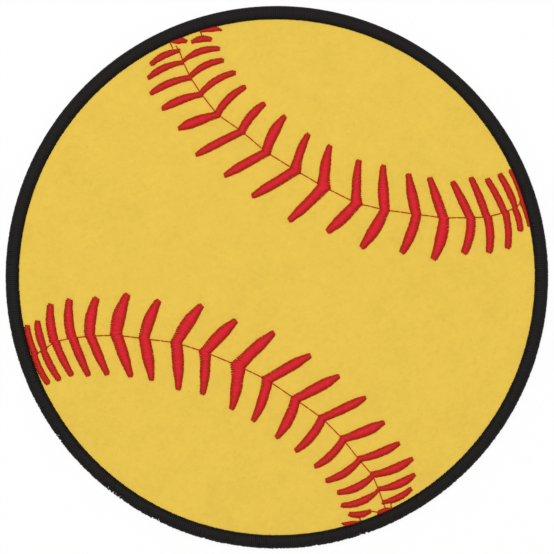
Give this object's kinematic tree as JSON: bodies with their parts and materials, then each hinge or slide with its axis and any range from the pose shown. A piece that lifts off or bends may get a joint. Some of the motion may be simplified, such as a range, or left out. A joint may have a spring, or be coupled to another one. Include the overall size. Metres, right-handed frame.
{
  "type": "embroidered patch",
  "caption": "Round iron-on felt patch picturing a yellow ball, with red satin-stitch laces along two seams and a black satin border.",
  "frame": {"origin": "centre of the patch on the back of its film, which lies on z = 0", "axes": "+Z out of the face of the patch, +X to the right and +Y to the top of the picture"},
  "size_m": [0.1016, 0.1016, 0.0022],
  "materials": {
    "felt": "pressed wool-blend felt, soft and matt",
    "border_thread": "black satin-stitch embroidery thread",
    "lace_thread": "red satin-stitch embroidery thread with a soft sheen",
    "bobbin_thread": "white bobbin thread",
    "stabiliser": "white non-woven cut-away backing",
    "film": "milky heat-seal adhesive film"
  },
  "bodies": {
    "root": {"heat_seal_film": "film", "stabiliser": "stabiliser", "felt_ground": "felt", "border_satin": "border_thread", "border_underlay": "border_thread", "border_bobbin": "bobbin_thread", "upper_lace_01": "lace_thread", "upper_lace_02": "lace_thread", "upper_lace_03": "lace_thread", "upper_lace_04": "lace_thread", "upper_lace_05": "lace_thread", "upper_lace_06": "lace_thread", "upper_lace_07": "lace_thread", "upper_lace_08": "lace_thread", "upper_lace_09": "lace_thread", "upper_lace_10": "lace_thread", "upper_lace_11": "lace_thread", "upper_lace_12": "lace_thread", "upper_lace_13": "lace_thread", "upper_lace_14": "lace_thread", "upper_lace_15": "lace_thread", "upper_lace_16": "lace_thread", "upper_lace_17": "lace_thread", "upper_lace_18": "lace_thread", "upper_lace_19": "lace_thread", "upper_lace_underlay": "lace_thread", "upper_lace_bobbin": "bobbin_thread", "upper_seam_line": "lace_thread", "lower_lace_01": "lace_thread", "lower_lace_02": "lace_thread", "lower_lace_03": "lace_thread", "lower_lace_04": "lace_thread", "lower_lace_05": "lace_thread", "lower_lace_06": "lace_thread", "lower_lace_07": "lace_thread", "lower_lace_08": "lace_thread", "lower_lace_09": "lace_thread", "lower_lace_10": "lace_thread", "lower_lace_11": "lace_thread", "lower_lace_12": "lace_thread", "lower_lace_13": "lace_thread", "lower_lace_14": "lace_thread", "lower_lace_15": "lace_thread", "lower_lace_16": "lace_thread", "lower_lace_17": "lace_thread", "lower_lace_18": "lace_thread", "lower_lace_19": "lace_thread", "lower_lace_underlay": "lace_thread", "lower_lace_bobbin": "bobbin_thread", "lower_seam_line": "lace_thread"}
  },
  "joints": []
}
